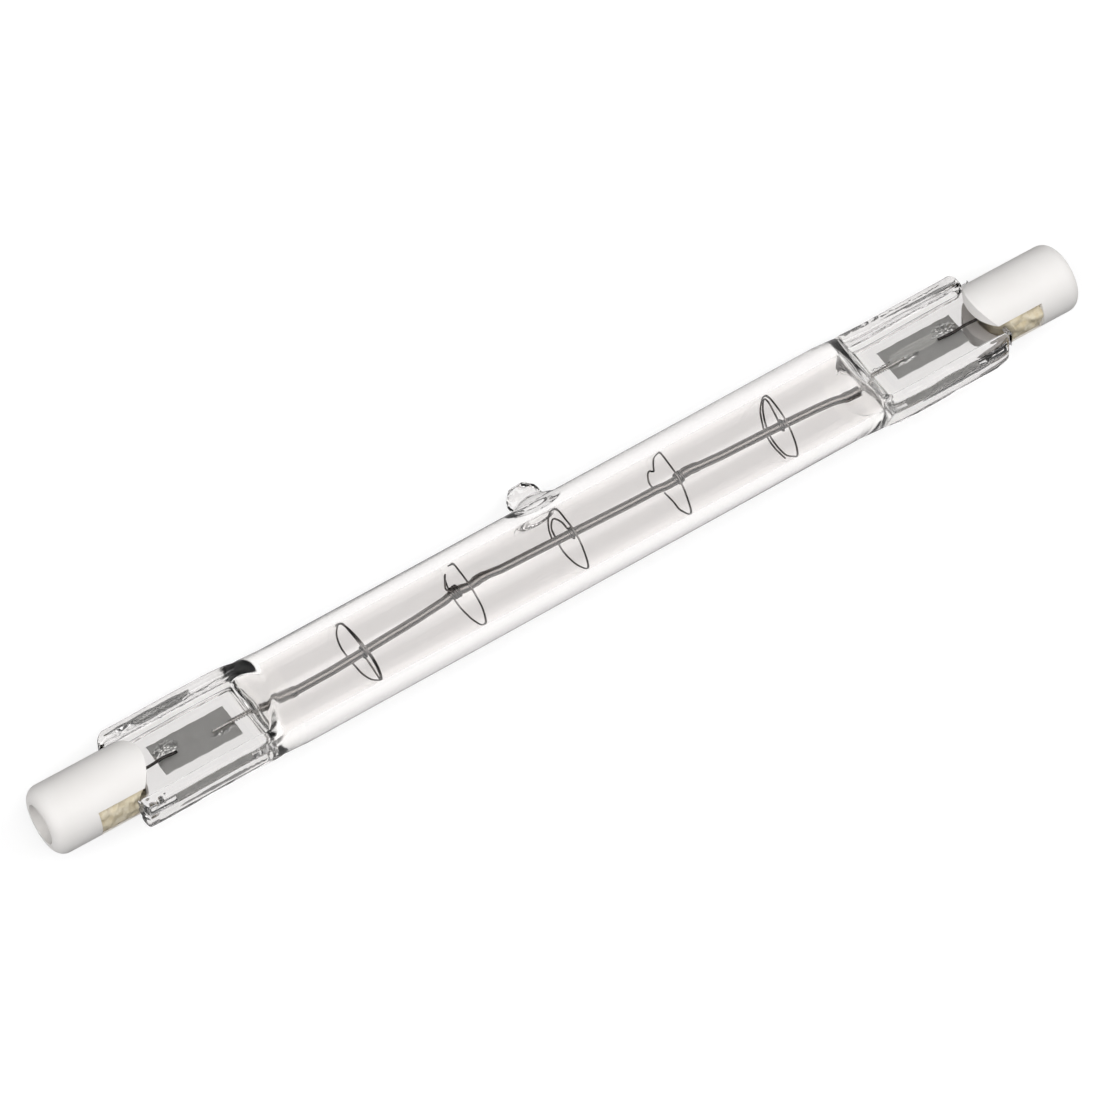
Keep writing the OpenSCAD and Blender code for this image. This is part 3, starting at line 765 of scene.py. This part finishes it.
def cement(name, side, recess, hollows, seed):
    """Cement smeared between the cheeks round the pinch's end: lumpy where it shows, with a hole left in it."""
    bead_x = cheek_x + recess
    bow_r = (cap_r ** 2 + cheek_bow ** 2) / (2 * cheek_bow)
    rows = []
    zs = np.linspace(-CEMENT_HALF_Z, CEMENT_HALF_Z, 22)
    ys = np.linspace(-1, 1, 22)
    for u in np.linspace(0, 1, 46):
        row = []
        for kind, values in (("low", zs), ("top", ys[1:-1]), ("high", zs[::-1]), ("bottom", ys[::-1][1:-1])):
            for v in values:
                on_side = kind in ("low", "high")
                reach = math.sqrt(CEMENT_R ** 2 - min(abs(v), CEMENT_HALF_Z) ** 2) if on_side else CEMENT_HALF_Y
                if kind == "low":
                    y, z = -reach, v
                elif kind == "high":
                    y, z = reach, v
                else:
                    y, z = v * reach, CEMENT_HALF_Z if kind == "top" else -CEMENT_HALF_Z
                bow = bow_r - math.sqrt(max(0.0, bow_r ** 2 - min(abs(y), bow_r) ** 2))
                start = bead_x + bow
                x = start + (slot_end_x - 0.02 - start) * u
                lump = 0.0
                if on_side:
                    edge = min(1.0, (CEMENT_HALF_Z - abs(v)) / 0.25)
                    lump = 0.34 * noise.noise(Vector((x * 0.9, v * 1.0, seed))) - 0.06
                    lump += 0.1 * noise.noise(Vector((x * 3.2, v * 3.2, seed + 3)))
                    for hx, hz, hr, depth in hollows:
                        far = math.hypot((x - hx) / hr, (v - hz) / (0.6 * hr))
                        lump -= depth * max(0.0, 1 - far ** 3)
                    lump = min(0.08, lump) * edge
                row.append((x * side, y + lump * math.copysign(1, y), z))
        rows.append(row)
    faces = skin(rows)
    if side < 0:
        faces = [f[::-1] for f in faces]
    return piece(name + "_smeared", np.concatenate(rows), faces, cement_finish, [name])


cement("cement_left", -1, 0.25, [(52.6, 1.6, 0.55, 1.1)], 2)
cement("cement_right", 1, 1.3, [(53.3, 1.3, 0.85, 1.4)], 9)


# Carried-over parts

def dress(name, finish):
    """Gives a carried-over solid its finish."""
    made = nodes[name]
    made.data.materials.clear()
    made.data.materials.append(finish)


for end in ("left", "right"):
    dress("cap_" + end, ceramic)
    dress("contact_" + end, contact_metal)


# Camera: nearly overhead, leaning towards the left end, with the lamp rising to the right
LEAN = math.radians(17.5)
RISE = math.radians(28.36)
PX_PER_MM = 10.355
DISTANCE = 800.0
FRAME_PX = 1100
LAMP_CENTRE_PX = (562.8, 542.9)


def camera():
    """A long lens far off, turned so that the lamp lies across the frame as in the photo."""
    back = Vector((0, 0, 1)) * math.cos(LEAN) - Vector((1, 0, 0)) * math.sin(LEAN)
    along = (Vector((1, 0, 0)) - back * back.x).normalized()
    across_up = back.cross(along)
    right = along * math.cos(RISE) - across_up * math.sin(RISE)
    up = along * math.sin(RISE) + across_up * math.cos(RISE)
    dx = (LAMP_CENTRE_PX[0] - FRAME_PX / 2) / PX_PER_MM
    dy = (FRAME_PX / 2 - LAMP_CENTRE_PX[1]) / PX_PER_MM
    aim = -right * dx - up * dy
    data = bpy.data.cameras.new("camera")
    data.sensor_width = 36
    data.lens = 36 * PX_PER_MM * DISTANCE / FRAME_PX
    data.clip_start, data.clip_end = 0.01, 20
    made = bpy.data.objects.new("camera", data)
    turn = Matrix((right, up, back)).transposed()
    made.matrix_world = Matrix.Translation((aim + back * DISTANCE) * MM) @ turn.to_4x4()
    bpy.context.scene.collection.objects.link(made)
    bpy.context.scene.camera = made


camera()


# Studio

def floor():
    """White seamless sheet: plain white to the camera, and it keeps a faint shadow."""
    side = 3.0
    mesh = bpy.data.meshes.new("floor")
    z = -tube_r * MM - 0.00002
    mesh.from_pydata([(-side, -side, z), (side, -side, z), (side, side, z), (-side, side, z)], [], [(0, 1, 2, 3)])
    made, tree, shader = finish_of("white_paper_sweep", Roughness=0.9)
    shader.inputs["Base Color"].default_value = linear("#9A9A9A")
    rays = put(tree, "ShaderNodeLightPath")
    seen = put(tree, "ShaderNodeMath", {0: rays.outputs["Is Camera Ray"], 1: 0.7}, operation="MULTIPLY")
    shine = put(tree, "ShaderNodeMath", {0: rays.outputs["Is Transmission Ray"], 1: 0.84, 2: seen.outputs[0]},
                operation="MULTIPLY_ADD")
    shader.inputs["Emission Color"].default_value = linear("#FFFFFF")
    tree.links.new(shine.outputs[0], shader.inputs["Emission Strength"])
    mesh.materials.append(made)
    plane = bpy.data.objects.new("floor", mesh)
    bpy.context.scene.collection.objects.link(plane)


def world():
    """A studio that is white in a band over the lamp's length and dark to both sides of it."""
    made = bpy.data.worlds.new("studio")
    bpy.context.scene.world = made
    made.use_nodes = True
    tree = made.node_tree
    back = tree.nodes["Background"]
    way = put(tree, "ShaderNodeTexCoord").outputs["Generated"]
    parts = put(tree, "ShaderNodeSeparateXYZ", {"Vector": way})
    aside = put(tree, "ShaderNodeMath", {0: parts.outputs["Y"]}, operation="ABSOLUTE")
    tone = put(tree, "ShaderNodeValToRGB", {"Fac": aside.outputs[0]})
    ramp = tone.color_ramp
    ramp.elements[0].position, ramp.elements[0].color = 0.27, (1, 1, 1, 1)
    ramp.elements[1].position, ramp.elements[1].color = 0.42, (0.035, 0.035, 0.036, 1)
    rays = put(tree, "ShaderNodeLightPath")
    mix = put(tree, "ShaderNodeMix", {"Factor": rays.outputs["Is Camera Ray"], "A": tone.outputs[0]},
              data_type="RGBA")
    mix.inputs["B"].default_value = (0.43, 0.43, 0.43, 1)
    tree.links.new(mix.outputs["Result"], back.inputs["Color"])
    back.inputs["Strength"].default_value = 2.35


def softbox(name, place, size, power):
    """A square lamp that faces the object."""
    data = bpy.data.lights.new(name, "AREA")
    data.shape, data.size, data.energy = "SQUARE", size, power
    made = bpy.data.objects.new(name, data)
    made.location = place
    made.rotation_mode = "QUATERNION"
    made.rotation_quaternion = (-Vector(place)).to_track_quat("-Z", "Y")
    bpy.context.scene.collection.objects.link(made)


floor()
world()
softbox("softbox_upper_left", (-0.5, 0.45, 0.9), 0.7, 1.5)
bpy.context.scene.view_settings.view_transform = "Standard"
